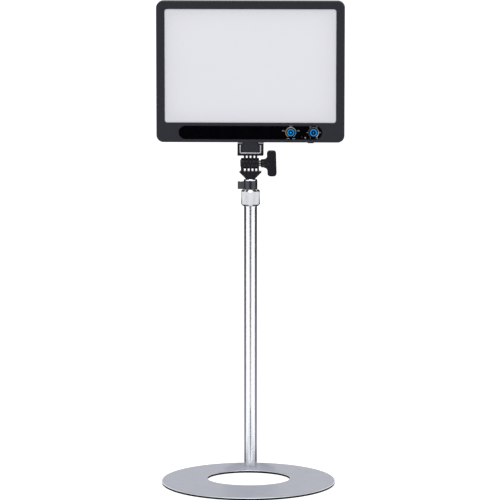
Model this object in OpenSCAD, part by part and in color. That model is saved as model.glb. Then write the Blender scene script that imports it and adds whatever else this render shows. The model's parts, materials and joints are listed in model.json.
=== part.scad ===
// LED panel light on a telescopic desk mast with a ring base.
// Millimetres. +Z is up, the light faces -Y, and the origin is the centre of
// the ring base on the table.

/* [Base] */
// Outer diameter of the ring base
base_d = 266; // [256:2:280]
// Thickness of the steel plate
base_t = 2; // [2:0.1:3.2]
// Width of the oval opening, side to side
hole_w = 127; // [110:1:140]
// Depth of the oval opening, front to back
hole_d = 109; // [90:1:112]
// How far the opening sits behind the centre of the base
hole_back = 15.8; // [5:0.1:18]
// Thickness of the rubber pad under the plate
pad_t = 1.8; // [1.4:0.1:2.4]

/* [Mast] */
// How far the mast stands behind the centre of the base
mast_back = 108; // [98:1:110]
// Outer diameter of the fixed tube
tube_d = 20; // [19.6:0.1:20.2]
// Height of the fixed tube's top above the table
tube_top = 418.2; // [380:0.1:425]
// Outer diameter of the sliding tube
slide_d = 14; // [13:0.1:14]
// Length of the sliding tube
slide_len = 390; // [340:5:390]
// Diameter of the knurled lock collar
collar_d = 29.6; // [28:0.2:34]

/* [Tilt joint] */
// Thickness of each fork prong on the panel side
prong_t = 3; // [2.6:0.1:3]
// Distance from one fork prong to the next
prong_pitch = 5.9; // [5.8:0.1:6.2]
// Radius of the prongs' rounded ends
prong_r = 8.35; // [7.5:0.05:8.4]
// Diameter of the clamping bolt
bolt_d = 6; // [5:0.1:6]
// Length of the T handle's grip
grip_len = 39.8; // [34:0.2:42]

/* [Panel] */
// Width of the light panel
panel_w = 290.4; // [288:0.1:310]
// Height of the light panel
panel_h = 218.2; // [214:0.1:240]
// Depth of the light panel
panel_t = 22; // [22:0.5:22]
// Radius of the panel's corners
panel_r = 11; // [8:0.5:12]
// Width of the lit window
window_w = 264.1; // [255:0.1:265]
// Height of the lit window
window_h = 175; // [165:0.5:175]
// Height of the bezel below the window
chin = 30.6; // [30:0.1:32]

/* [Controls] */
// Length of the gloss control strip
strip_w = 222.2; // [210:0.1:240]
// Height of the gloss control strip
strip_h = 21.8; // [20:0.1:23]
// Diameter of each dial
dial_d = 12; // [11:0.1:12.4]
// Side position of the colour temperature dial
cct_x = 62.4; // [50:0.1:68]
// Side position of the brightness dial
level_x = 97.5; // [92:0.1:98]
// Width of the power button
button_w = 9.6; // [8:0.1:10]

/* [Hidden] */

$fn = 64;

// Radial clearance of a shaft that turns or slides in its own bore
run_gap = 0.05;
// Axial clearance between faces that turn past each other
face_gap = 0.1;
// Half of the flat left at each end of a round-ended strip
pill_flat = 0.05;
// Overshoot of a cutting shape past the face it cuts
over = 1;

// Base
base_top = pad_t + base_t;
edge_chamfer = 0.7;
pad_inset = 0.6;
screw_d = 6;
screw_head_d = 12;
screw_head_h = 1.6;

// Mast
tube_wall = 1.5;
tube_in_r = tube_d / 2 - tube_wall;
slide_wall = 1.25;
plug_h = 26;
bush_in_tube = 23;
bush_cap = 18;
bush_d = 24;
collar_bottom = tube_top - 3.5;
collar_h = 25.6;
collar_top = collar_bottom + collar_h;
clip_bottom = collar_top + 0.5;
clip_h = 13;
clip_d = 21.4;
clip_tab_h = 11.7;
clip_tab_reach = 19.9;
clip_tab_t = 8;
cable_d = 3.4;
cap_bottom = clip_bottom + clip_h + 0.2;
cap_h = 2.4;
cap_top = cap_bottom + cap_h;
cap_d = 20.6;
cap_chamfer = 1.1;
stud_d = 6.25;
stud_h = 9.5;
insert_d = 9;

// Tilt joint
foot_z = cap_top + face_gap;
wedge_foot_h = 1.2;
wedge_foot_d = 14.4;
wedge_h = 9.8;
wedge_w = 34;
rim_h = 0.8;
wedge_top = foot_z + wedge_foot_h + wedge_h + rim_h;
pivot_z = wedge_top + 12.35;
web_bottom = pivot_z + 12.75;
slot_t = prong_pitch - prong_t;
end_in = 1.5 * prong_pitch + prong_t / 2 + face_gap;
nut_end = -14.8;
knob_end = 13;
nut_af = 10;
nut_proud = 1.2;
nut_t = 3.4;
ferrule_d = 9.3;
neck_d = 13.3;
neck_start = 15.6;
grip_start = 25.8;
grip_end = 39.9;
grip_t = 12.5;
grip_r = 4.5;
neck_fillet = 4.6;

// Shoe
shoe_w = 40;
shoe_h = 19.3;
shoe_depth = 22;
shoe_arm = 3.4;
shoe_web = 3.5;
lip_t = 2.5;
lip_x = 13.4;
liner_t = 1.6;
foot_w = 28.8;
foot_neck_w = 25.4;
foot_depth = 20;
foot_h = 10.6;
foot_gap = 0.6;
shoe_gap = 1.4;
stop_h = 5;
stop_t = 1.2;
foot_screw_x = 8;
foot_screw_d = 4;
mount_w = 60;

// Panel
front = mast_back - panel_t / 2;
back = mast_back + panel_t / 2;
split = front + 8;
panel_z = web_bottom + shoe_h + shoe_gap;
panel_mid = panel_z + panel_h / 2;
window_mid = panel_z + chin + window_h / 2;
wall = 2;
plate_t = 2.2;
lip = 1.2;
strip_z = panel_z + 15.2;
strip_t = 1.45;
strip_pocket = 1.6;
diffuser_t = 2;
guide_t = 3;
sheet_t = 0.5;
tray_t = 1.2;
diffuser_y = front + lip;
guide_y = diffuser_y + diffuser_t;
sheet_y = guide_y + guide_t;
tray_y = sheet_y + sheet_t;
guide_w = window_w + 2;
guide_h = window_h + 2;
led_count = 30;
screw_x = panel_w / 2 - 5.6;
screw_zs = [panel_z + 12, panel_mid, panel_z + panel_h - 12];
boss_d = 5.6;
rear_screw_d = 2.6;

// Controls
dial_z = panel_z + 15.7;
dial_proud = 2.2;
dial_gap = 0.35;
shaft_d = 4;
board_y = split + 0.4;
board_t = 1.6;
encoder_w = 11;
encoder_t = 4.6;
ring_out_d = dial_d - 0.6;
ring_in_d = 6;
ring_t = 1;
pip_d = 3.2;
button_x = 93.1;
button_t = 3.6;
button_y = front + 4.4;
button_proud = 1.3;
button_gap = 0.3;
button_flange = 1;
button_travel = 0.8;
lamp_x = 84.8;
lamp_d = 2.2;
lamp_z = panel_z + 7.6;

// Rear side
driver_x = -48;
driver_z = panel_z + 62;
port_x = -48;
port_z = panel_z + 26;
port_w = 9;
port_h = 3.3;
vent_count = 13;
vent_pitch = 6;
vent_w = 2.2;
vent_h = 46;
vent_z = panel_z + 160;
vent_x = 70;

function ellipse(w, d, steps) =
    [for (i = [0 : steps - 1]) [w / 2 * cos(360 * i / steps), d / 2 * sin(360 * i / steps)]];

module rounded(w, h, r) {
    square([w - 2 * r, h], center = true);
    square([w, h - 2 * r], center = true);
    for (sx = [-1, 1], sy = [-1, 1])
        translate([sx * (w / 2 - r), sy * (h / 2 - r)])
            circle(r);
}

// A strip with round ends; the small flat keeps the short edges from vanishing.
module pill(w, h) {
    rounded(w, h, min(w, h) / 2 - pill_flat);
}

// An outline in the X-Z plane, centred at height zc, filled from y0 to y1.
module upright(y0, y1, zc) {
    translate([0, y1, zc])
        rotate([90, 0, 0])
            linear_extrude(y1 - y0)
                children();
}

module along_x(d, x0, x1) {
    translate([x0, 0, 0])
        rotate([0, 90, 0])
            cylinder(d = d, h = x1 - x0);
}

module along_y(d, y0, y1) {
    translate([0, y1, 0])
        rotate([90, 0, 0])
            cylinder(d = d, h = y1 - y0);
}

module at_mast(z) {
    translate([0, mast_back, z])
        children();
}

module at_pivot() {
    translate([0, mast_back, pivot_z])
        children();
}

// Base

module base_hole(grow) {
    translate([0, hole_back])
        polygon(ellipse(hole_w + grow, hole_d + grow, 96));
}

module base_plate() {
    color("silver")
    difference() {
        translate([0, 0, pad_t])
            rotate_extrude($fn = 128)
                polygon([
                    [0, 0], [base_d / 2, 0], [base_d / 2, base_t - edge_chamfer],
                    [base_d / 2 - edge_chamfer, base_t], [0, base_t]
                ]);
        translate([0, 0, pad_t - over])
            linear_extrude(base_t + 2 * over)
                base_hole(0);
        at_mast(pad_t - over)
            cylinder(d = screw_d, h = base_t + 2 * over);
        at_mast(pad_t)
            cylinder(d1 = screw_head_d, d2 = screw_d, h = screw_head_h);
    }
}

module base_pad() {
    color("dimgray")
    difference() {
        cylinder(d = base_d - 2 * pad_inset, h = pad_t, $fn = 128);
        translate([0, 0, -over])
            linear_extrude(pad_t + 2 * over)
                base_hole(2 * pad_inset);
        at_mast(-over)
            cylinder(d = screw_head_d + 2, h = pad_t + 2 * over);
    }
}

// Mast

module mast_screw() {
    color("gray")
    difference() {
        at_mast(pad_t) {
            cylinder(d1 = screw_head_d, d2 = screw_d, h = screw_head_h);
            cylinder(d = screw_d, h = 20);
        }
        at_mast(pad_t - over)
            cylinder(d = 4.6, h = over + 1.8, $fn = 6);
    }
}

module mast_plug() {
    color("gray")
    difference() {
        at_mast(base_top)
            cylinder(r = tube_in_r, h = plug_h);
        at_mast(base_top - over)
            cylinder(d = screw_d, h = plug_h - 2);
    }
}

module mast_outer_tube() {
    color("gainsboro")
    difference() {
        at_mast(base_top)
            cylinder(d = tube_d, h = tube_top - base_top);
        at_mast(base_top - over)
            cylinder(r = tube_in_r, h = tube_top);
    }
}

module collet_bush() {
    color("dimgray")
    difference() {
        union() {
            at_mast(tube_top - bush_in_tube)
                cylinder(r = tube_in_r, h = bush_in_tube);
            at_mast(tube_top)
                cylinder(d = bush_d, h = bush_cap);
            at_mast(collar_bottom)
                difference() {
                    cylinder(d = bush_d, h = tube_top - collar_bottom);
                    translate([0, 0, -over])
                        cylinder(d = tube_d, h = tube_top - collar_bottom + over);
                }
        }
        at_mast(tube_top - bush_in_tube - over)
            cylinder(r = slide_d / 2 + run_gap, h = bush_in_tube + bush_cap + 2 * over);
        // Slits that let the fingers close on the sliding tube
        for (turn = [0, 90])
            at_mast(tube_top + 6)
                rotate(turn)
                    translate([-bush_d, -0.6, 0])
                        cube([2 * bush_d, 1.2, bush_cap]);
    }
}

module lock_collar() {
    top_chamfer = 3.1;
    bottom_chamfer = 2.4;
    color("gainsboro")
    difference() {
        at_mast(collar_bottom) {
            cylinder(d1 = collar_d - 2 * bottom_chamfer, d2 = collar_d, h = bottom_chamfer);
            translate([0, 0, bottom_chamfer])
                cylinder(d = collar_d, h = collar_h - top_chamfer - bottom_chamfer);
            translate([0, 0, collar_h - top_chamfer])
                cylinder(d1 = collar_d, d2 = collar_d - 2 * top_chamfer, h = top_chamfer);
        }
        at_mast(collar_bottom - over)
            cylinder(r = bush_d / 2 + run_gap, h = tube_top + bush_cap + face_gap - collar_bottom + over);
        at_mast(collar_bottom)
            cylinder(r = slide_d / 2 + run_gap, h = collar_h + over);
    }
}

module mast_inner_tube() {
    color("gainsboro")
    at_mast(cap_bottom - slide_len)
        difference() {
            cylinder(d = slide_d, h = slide_len);
            translate([0, 0, -over])
                cylinder(d = slide_d - 2 * slide_wall, h = slide_len + 2 * over);
        }
}

module tube_guide() {
    color("dimgray")
    at_mast(cap_bottom - slide_len)
        difference() {
            cylinder(r = tube_in_r - run_gap, h = 18);
            translate([0, 0, -over])
                cylinder(d = slide_d, h = 18 + 2 * over);
        }
}

module spigot_cap() {
    color("silver")
    at_mast(cap_bottom) {
        translate([0, 0, -18])
            cylinder(d = slide_d - 2 * slide_wall, h = 18);
        cylinder(d = cap_d, h = cap_h - cap_chamfer);
        translate([0, 0, cap_h - cap_chamfer])
            cylinder(d1 = cap_d, d2 = cap_d - 2 * cap_chamfer, h = cap_chamfer);
        translate([0, 0, cap_h])
            cylinder(d = stud_d, h = stud_h);
    }
}

module cable_clip() {
    tab_x = -clip_tab_reach;
    notch_x = -clip_tab_reach + 4.6;
    color("dimgray")
    difference() {
        union() {
            at_mast(clip_bottom)
                cylinder(d = clip_d, h = clip_h);
            at_mast(clip_bottom)
                translate([tab_x, -clip_tab_t / 2, 0])
                    cube([clip_tab_reach - 8, clip_tab_t, clip_tab_h]);
        }
        at_mast(clip_bottom - over)
            cylinder(r = slide_d / 2 + run_gap, h = clip_h + 2 * over);
        // Split that lets the ring snap over the tube
        at_mast(clip_bottom - over)
            translate([0, -0.5, 0])
                cube([clip_d, 1, clip_h + 2 * over]);
        // Keyhole that holds the cable
        at_mast(clip_bottom - over)
            translate([notch_x, 0, 0]) {
                cylinder(d = cable_d, h = clip_h + 2 * over);
                translate([-0.4 * cable_d, 0, 0])
                    cube([0.8 * cable_d, clip_tab_t, clip_h + 2 * over]);
            }
    }
}

// Tilt joint

// One prong in the Y-Z plane: a round eye on a straight leg down (or up) to its base.
module prong(x0, x1, leg) {
    translate([x0, 0, 0])
        rotate([0, 90, 0])
            cylinder(r = prong_r, h = x1 - x0);
    translate([x0, -prong_r, min(0, leg)])
        cube([x1 - x0, 2 * prong_r, abs(leg)]);
}

module tilt_base() {
    leg = wedge_top - pivot_z - 0.5;
    color("dimgray")
    difference() {
        union() {
            at_mast(foot_z)
                cylinder(d = wedge_foot_d, h = wedge_foot_h + 1);
            upright(mast_back - prong_r, mast_back + prong_r, foot_z + wedge_foot_h)
                polygon([
                    [-wedge_foot_d / 2, 0], [wedge_foot_d / 2, 0], [wedge_w / 2, wedge_h],
                    [wedge_w / 2, wedge_h + rim_h], [-wedge_w / 2, wedge_h + rim_h], [-wedge_w / 2, wedge_h]
                ]);
            at_pivot() {
                for (i = [-1 : 1])
                    prong(i * prong_pitch - slot_t / 2 + face_gap,
                          i * prong_pitch + slot_t / 2 - face_gap, leg);
                prong(end_in, knob_end, leg);
                prong(nut_end, -end_in, leg);
            }
        }
        at_pivot() {
            along_x(bolt_d + 2 * run_gap, -30, 30);
            translate([nut_end - over, 0, 0])
                rotate([0, 90, 0])
                    cylinder(d = nut_af / cos(30), h = over + nut_t - nut_proud, $fn = 6);
        }
        at_mast(foot_z - over)
            cylinder(d = insert_d, h = stud_h + over + 0.5);
    }
}

module stud_insert() {
    color("goldenrod")
    at_mast(foot_z)
        difference() {
            cylinder(d = insert_d, h = stud_h + 0.5);
            translate([0, 0, -over])
                cylinder(r = stud_d / 2 + run_gap, h = stud_h + 2 * over + 0.5);
        }
}

module tilt_nut() {
    color("silver")
    at_pivot()
        difference() {
            translate([nut_end - nut_proud, 0, 0])
                rotate([0, 90, 0])
                    cylinder(d = nut_af / cos(30), h = nut_t, $fn = 6);
            along_x(bolt_d + 2 * run_gap, -30, 0);
        }
}

module tilt_bolt() {
    color("silver")
    at_pivot()
        along_x(bolt_d, nut_end - 0.2, grip_start + 8);
}

module knob_ferrule() {
    color("silver")
    at_pivot()
        difference() {
            along_x(ferrule_d, knob_end + face_gap, neck_start);
            along_x(bolt_d, knob_end - over, neck_start + over);
        }
}

module tilt_knob() {
    color("dimgray")
    at_pivot()
        difference() {
            union() {
                translate([neck_start, 0, 0])
                    rotate([0, 90, 0])
                        cylinder(d1 = neck_d - 3, d2 = neck_d, h = 1.5);
                along_x(neck_d, neck_start + 1.5, grip_start + 2);
                // Flared web from the neck into the grip
                translate([0, grip_t / 2, 0])
                    rotate([90, 0, 0])
                        linear_extrude(grip_t)
                            difference() {
                                translate([grip_start - neck_fillet, -neck_d / 2 - neck_fillet])
                                    square([neck_fillet + 1, neck_d + 2 * neck_fillet]);
                                for (s = [-1, 1])
                                    translate([grip_start - neck_fillet, s * (neck_d / 2 + neck_fillet)])
                                        circle(neck_fillet);
                            }
                translate([(grip_start + grip_end) / 2, grip_t / 2, 0])
                    rotate([90, 0, 0])
                        linear_extrude(grip_t)
                            rounded(grip_end - grip_start, grip_len, grip_r);
            }
            along_x(bolt_d, neck_start - over, grip_start + 8);
        }
}

// Shoe

module shoe_profile() {
    difference() {
        translate([-shoe_w / 2, 0])
            square([shoe_w, shoe_h]);
        translate([-shoe_w / 2 + shoe_arm, shoe_web])
            square([shoe_w - 2 * shoe_arm, shoe_h - shoe_web - lip_t]);
        translate([-lip_x, shoe_web])
            square([2 * lip_x, shoe_h]);
    }
}

module shoe_channel() {
    color("dimgray") {
        difference() {
            union() {
                upright(mast_back - shoe_depth / 2, mast_back + shoe_depth / 2, web_bottom)
                    shoe_profile();
                at_pivot()
                    for (x = [-1.5, -0.5, 0.5, 1.5] * prong_pitch)
                        prong(x - prong_t / 2, x + prong_t / 2, web_bottom - pivot_z + 0.5);
            }
            at_pivot()
                along_x(bolt_d + 2 * run_gap, -30, 30);
        }
        // Stop at the back end of the channel
        translate([-lip_x, mast_back + shoe_depth / 2 - stop_t, web_bottom + shoe_web - 0.5])
            cube([2 * lip_x, stop_t, stop_h]);
    }
}

module shoe_liner() {
    liner_out = shoe_w / 2 - shoe_arm;
    liner_h = shoe_h - shoe_web - lip_t;
    color("silver")
    upright(mast_back - shoe_depth / 2 + 0.3, mast_back + shoe_depth / 2 - stop_t - 0.1,
            web_bottom + shoe_web)
        difference() {
            translate([-liner_out, 0])
                square([2 * liner_out, liner_h]);
            translate([-liner_out + liner_t, liner_t])
                square([2 * (liner_out - liner_t), liner_h]);
        }
}

module foot_screw_axes() {
    for (s = [-1, 1])
        translate([s * foot_screw_x, mast_back + 3, 0])
            children();
}

module shoe_foot() {
    foot_bottom = web_bottom + shoe_web + liner_t + foot_gap;
    color("dimgray")
    difference() {
        translate([0, mast_back - 0.6, 0]) {
            translate([-foot_w / 2, -foot_depth / 2, foot_bottom])
                cube([foot_w, foot_depth, foot_h]);
            translate([-foot_neck_w / 2, -foot_depth / 2, foot_bottom])
                cube([foot_neck_w, foot_depth, panel_z - foot_bottom]);
        }
        foot_screw_axes() {
            translate([0, 0, foot_bottom - over])
                cylinder(d = 7.6, h = over + 5);
            cylinder(d = foot_screw_d, h = panel_z + over);
        }
    }
}

module foot_screws() {
    foot_bottom = web_bottom + shoe_web + liner_t + foot_gap;
    color("silver")
    foot_screw_axes()
        difference() {
            union() {
                translate([0, 0, foot_bottom + 1])
                    cylinder(d = 7.2, h = 4);
                translate([0, 0, foot_bottom + 1])
                    cylinder(d = foot_screw_d, h = panel_z + 6 - foot_bottom);
            }
            cylinder(d = 3.4, h = foot_bottom + 3.2, $fn = 6);
        }
}

module mount_plate() {
    color("silver")
    difference() {
        translate([-mount_w / 2, split + 0.6, panel_z + wall])
            cube([mount_w, back - wall - split - 1, 3]);
        foot_screw_axes()
            cylinder(d = foot_screw_d, h = panel_z + 20);
    }
}

// Panel

module front_bezel() {
    color("darkslategray")
    difference() {
        union() {
            upright(front, front + lip, panel_mid)
                rounded(panel_w - 1.2, panel_h - 1.2, panel_r - 0.6);
            upright(front + 0.6, split, panel_mid)
                rounded(panel_w, panel_h, panel_r);
        }
        // Hollow behind the front plate
        difference() {
            upright(front + plate_t, split + over, panel_mid)
                rounded(panel_w - 2 * wall, panel_h - 2 * wall, panel_r - wall);
            for (s = [-1, 1], z = screw_zs)
                translate([s * screw_x, 0, z])
                    along_y(boss_d, front, split + 2 * over);
        }
        upright(front - over, split, window_mid)
            rounded(window_w, window_h, 3.7);
        upright(diffuser_y, split, window_mid)
            rounded(window_w + 5.2, window_h + 5.2, 1);
        upright(front - over, front + strip_pocket, strip_z)
            pill(strip_w + 0.2, strip_h + 0.2);
        for (x = [cct_x, level_x])
            translate([x, 0, dial_z])
                along_y(dial_d + 2 * dial_gap, front, split);
        translate([lamp_x, 0, lamp_z])
            along_y(lamp_d, front, split);
        for (s = [-1, 1], z = screw_zs)
            translate([s * screw_x, 0, z])
                along_y(rear_screw_d, front + 3.5, split + over);
        // Slot for the power button in the bottom wall
        translate([button_x - button_w / 2 - button_gap, button_y - button_t / 2 - button_gap, panel_z - over])
            cube([button_w + 2 * button_gap, button_t + 2 * button_gap, wall + 2 * over]);
    }
}

module control_fascia() {
    color("black")
    difference() {
        upright(front + strip_pocket - strip_t, front + strip_pocket, strip_z)
            pill(strip_w, strip_h);
        for (x = [cct_x, level_x])
            translate([x, 0, dial_z])
                along_y(dial_d + 2 * dial_gap, front - over, split);
        translate([lamp_x, 0, lamp_z])
            along_y(lamp_d, front - over, split);
    }
}

module diffuser() {
    color("white")
    upright(diffuser_y, diffuser_y + diffuser_t, window_mid)
        rounded(window_w + 5, window_h + 5, 1);
}

module light_guide() {
    color("lightcyan")
    upright(guide_y, guide_y + guide_t, window_mid)
        square([guide_w, guide_h], center = true);
}

module reflector_sheet() {
    color("white")
    upright(sheet_y, sheet_y + sheet_t, window_mid)
        square([guide_w, guide_h], center = true);
}

module led_boards() {
    color("white")
    for (s = [-1, 1])
        translate([s * (guide_w / 2 + 1.5), 0, 0])
            upright(guide_y, guide_y + guide_t, window_mid)
                square([0.8, guide_h - 6], center = true);
}

module led_chips() {
    pitch = (guide_h - 16) / (led_count - 1);
    color("khaki")
    for (s = [-1, 1], i = [0 : led_count - 1])
        translate([s * (guide_w / 2 + 0.7) - 0.35, guide_y + 0.5,
                   window_mid - (guide_h - 16) / 2 + i * pitch - 1.4])
            cube([0.7, guide_t - 1, 2.8]);
}

module heat_spreader() {
    color("silver")
    upright(tray_y, tray_y + tray_t, window_mid)
        square([guide_w + 3.6, guide_h + 1], center = true);
}

module control_board() {
    color("seagreen")
    difference() {
        translate([4, board_y, panel_z + 6.2])
            cube([128, board_t, 19]);
        for (x = [cct_x, level_x])
            translate([x, 0, dial_z])
                along_y(shaft_d + 1, board_y - over, board_y + board_t + over);
    }
}

module dial_encoders() {
    color("slategray")
    for (x = [cct_x, level_x])
        translate([x, 0, dial_z])
            difference() {
                translate([-encoder_w / 2, board_y - encoder_t, -encoder_w / 2])
                    cube([encoder_w, encoder_t, encoder_w]);
                along_y(shaft_d + 2 * run_gap, board_y - encoder_t - over, board_y + over);
            }
}

module power_switch() {
    color("black")
    translate([button_x, button_y, panel_z]) {
        translate([-3, -2, 5])
            cube([6, board_y - button_y + 2, 3]);
        translate([0, 0, 4.2])
            cylinder(d = 2.4, h = 1);
    }
}

module status_lamp() {
    color("white")
    translate([lamp_x, 0, lamp_z])
        along_y(lamp_d, front + 0.1, board_y);
}

module driver_board() {
    color("seagreen")
    translate([driver_x - 36, split + 0.6, panel_z + 20])
        cube([72, board_t, 66]);
}

module driver_parts() {
    top_y = split + 0.6 + board_t;
    color("black") {
        translate([driver_x - 14, 0, driver_z])
            along_y(12, top_y, top_y + 7);
        translate([driver_x + 4, top_y, driver_z - 6])
            cube([12, 5, 12]);
        translate([driver_x - 24, top_y, driver_z - 22])
            cube([9, 1.4, 9]);
        for (i = [0 : 2])
            translate([driver_x + 6 + 8 * i, 0, driver_z - 18])
                along_y(6, top_y, top_y + 7);
    }
}

module power_port() {
    inner = 1.2;
    color("silver")
    difference() {
        upright_port(port_w, port_h, split + 0.6 + board_t, back - 0.4);
        upright_port(port_w - inner, port_h - inner, back - 6, back + over);
    }
    color("black")
    translate([port_x - 3.1, back - 6, port_z - 0.35])
        cube([6.2, 4.6, 0.7]);
}

module upright_port(w, h, y0, y1) {
    translate([port_x, 0, 0])
        upright(y0, y1, port_z)
            pill(w, h);
}

module rear_cover() {
    color("darkslategray")
    difference() {
        union() {
            upright(split, back - 1.5, panel_mid)
                rounded(panel_w, panel_h, panel_r);
            upright(split, back, panel_mid)
                rounded(panel_w - 3, panel_h - 3, panel_r - 1.5);
        }
        difference() {
            upright(split - over, back - wall, panel_mid)
                rounded(panel_w - 2 * wall, panel_h - 2 * wall, panel_r - wall);
            for (s = [-1, 1], z = screw_zs)
                translate([s * screw_x, 0, z])
                    along_y(boss_d, split - 2 * over, back);
        }
        for (s = [-1, 1], z = screw_zs)
            translate([s * screw_x, 0, z]) {
                along_y(rear_screw_d + 0.4, split - over, back);
                along_y(5, back - 2, back + over);
            }
        for (side = [-1, 1], i = [0 : vent_count - 1])
            translate([side * vent_x + (i - (vent_count - 1) / 2) * vent_pitch, 0, 0])
                upright(back - 2 * wall, back + over, vent_z)
                    pill(vent_w, vent_h);
        upright_port(port_w + 0.5, port_h + 0.5, back - 2 * wall, back + over);
        foot_screw_axes()
            translate([0, 0, panel_z - over])
                cylinder(d = foot_screw_d + 0.4, h = wall + 2 * over);
    }
}

module rear_screws() {
    color("silver")
    for (s = [-1, 1], z = screw_zs)
        translate([s * screw_x, 0, z])
            difference() {
                union() {
                    along_y(rear_screw_d, front + 4, back - 1);
                    along_y(4.6, back - 2, back - 0.4);
                }
                for (turn = [0, 90])
                    rotate([0, turn, 0])
                        translate([-1.3, back - 1.2, -0.3])
                            cube([2.6, 2, 0.6]);
            }
}

// Dials and button

module dial(x) {
    face = front - dial_proud;
    color("black")
    translate([x, 0, dial_z])
        difference() {
            union() {
                along_y(dial_d, face, front + plate_t);
                along_y(shaft_d, front, board_y + board_t);
            }
            difference() {
                along_y(ring_out_d, face - over, face + ring_t);
                along_y(ring_in_d, face - 2 * over, face + ring_t + over);
            }
            along_y(pip_d, face - over, face + ring_t);
        }
}

module dial_ring(x) {
    face = front - dial_proud;
    color("deepskyblue")
    translate([x, 0, dial_z]) {
        difference() {
            along_y(ring_out_d, face, face + ring_t);
            along_y(ring_in_d, face - over, face + ring_t + over);
        }
        along_y(pip_d, face, face + ring_t);
    }
}

module cct_dial() { dial(cct_x); }
module cct_dial_ring() { dial_ring(cct_x); }
module brightness_dial() { dial(level_x); }
module brightness_dial_ring() { dial_ring(level_x); }

module power_button() {
    color("black")
    translate([button_x, button_y, panel_z]) {
        translate([-button_w / 2, -button_t / 2, -button_proud])
            cube([button_w, button_t, button_proud + wall + 0.5]);
        translate([-button_w / 2 - button_flange, -button_t / 2, wall + 0.1])
            cube([button_w + 2 * button_flange, button_t, 1]);
        translate([-1, -1, wall + 1])
            cube([2, 2, 4.2 - button_travel - 0.1 - wall - 1]);
    }
}

base_plate();
base_pad();
mast_screw();
mast_plug();
mast_outer_tube();
collet_bush();
lock_collar();
mast_inner_tube();
tube_guide();
spigot_cap();
cable_clip();
tilt_base();
stud_insert();
tilt_nut();
tilt_bolt();
tilt_knob();
knob_ferrule();
shoe_channel();
shoe_liner();
shoe_foot();
foot_screws();
mount_plate();
front_bezel();
control_fascia();
diffuser();
light_guide();
reflector_sheet();
led_boards();
led_chips();
heat_spreader();
control_board();
dial_encoders();
power_switch();
status_lamp();
driver_board();
driver_parts();
power_port();
rear_cover();
rear_screws();
cct_dial();
cct_dial_ring();
brightness_dial();
brightness_dial_ring();
power_button();
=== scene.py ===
"""Looks of the panel light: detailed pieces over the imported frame, their materials, and a white studio."""
import json
import math

import bmesh
import bpy
from mathutils import Matrix, Vector


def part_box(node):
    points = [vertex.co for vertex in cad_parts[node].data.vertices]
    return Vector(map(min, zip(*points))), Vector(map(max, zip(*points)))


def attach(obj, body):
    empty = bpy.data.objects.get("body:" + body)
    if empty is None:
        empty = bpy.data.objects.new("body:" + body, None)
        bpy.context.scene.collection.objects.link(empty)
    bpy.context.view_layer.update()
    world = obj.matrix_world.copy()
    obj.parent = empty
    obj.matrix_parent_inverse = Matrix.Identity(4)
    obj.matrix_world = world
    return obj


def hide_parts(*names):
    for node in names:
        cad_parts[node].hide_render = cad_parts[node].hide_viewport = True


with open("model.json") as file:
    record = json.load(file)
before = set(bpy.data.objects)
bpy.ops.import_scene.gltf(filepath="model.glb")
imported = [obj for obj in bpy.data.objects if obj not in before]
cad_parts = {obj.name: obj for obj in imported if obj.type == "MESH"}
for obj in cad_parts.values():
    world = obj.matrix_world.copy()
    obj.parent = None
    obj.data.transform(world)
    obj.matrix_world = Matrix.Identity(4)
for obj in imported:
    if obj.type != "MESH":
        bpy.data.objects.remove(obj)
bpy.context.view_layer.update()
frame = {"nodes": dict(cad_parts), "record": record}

MM = 0.001

# ---------------------------------------------------------------- places, from the frame where it holds them

def middle(node):
    low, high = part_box(node)
    return (low + high) / 2


MAST = middle("mast_outer_tube")
PIVOT = middle("tilt_bolt")
PANEL_LOW, PANEL_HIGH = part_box("front_bezel")
PANEL_MID = (PANEL_LOW + PANEL_HIGH) / 2
PANEL_W = PANEL_HIGH.x - PANEL_LOW.x
PANEL_H = PANEL_HIGH.z - PANEL_LOW.z
# Corner radius of the panel
PANEL_R = 11 * MM
FRONT = PANEL_LOW.y
SPLIT = PANEL_HIGH.y
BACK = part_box("rear_cover")[1].y
DIFFUSER_LOW, DIFFUSER_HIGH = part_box("diffuser")
WINDOW_MID = middle("diffuser")
WINDOW_W = DIFFUSER_HIGH.x - DIFFUSER_LOW.x - 5 * MM
WINDOW_H = DIFFUSER_HIGH.z - DIFFUSER_LOW.z - 5 * MM
STRIP_LOW, STRIP_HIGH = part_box("control_fascia")
STRIP_MID = (STRIP_LOW + STRIP_HIGH) / 2
# Wall of both shells
WALL = 2 * MM
# Chamfer on both shells where they meet
SEAM = 0.25 * MM
# Corner radius of the lit window
WINDOW_R = 3.7 * MM
# Clearance hole round each dial
DIAL_HOLE_R = 6.35 * MM
# Overshoot of a cutting shape past the face it cuts
OVER = 1 * MM
DIALS = ("cct_dial", "brightness_dial")
# Degrees from the top of a dial to either end of its printed scale
SCALE_HALF = 150

# ---------------------------------------------------------------- mesh helpers

def arc(centre, radius, start, end, steps):
    """Points on an arc, in degrees, both ends included."""
    angles = [math.radians(start + (end - start) * i / steps) for i in range(steps + 1)]
    return [(centre[0] + radius * math.cos(a), centre[1] + radius * math.sin(a)) for a in angles]


def rounded_outline(width, height, radius, steps=10):
    """A rectangle with round corners, centred on the origin, counter-clockwise."""
    points = []
    for quarter, (sx, sz) in enumerate([(1, 1), (-1, 1), (-1, -1), (1, -1)]):
        corner = (sx * (width / 2 - radius), sz * (height / 2 - radius))
        points += arc(corner, radius, 90 * quarter, 90 * quarter + 90, steps)
    return points


def upright(outline, y, centre):
    """An outline drawn in the X-Z plane at depth y."""
    return [Vector((centre.x + x, y, centre.z + z)) for x, z in outline]


def turn_angles(steps):
    """Angles in radians, evenly spaced round a full turn."""
    return [2 * math.pi * i / steps for i in range(steps)]


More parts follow.
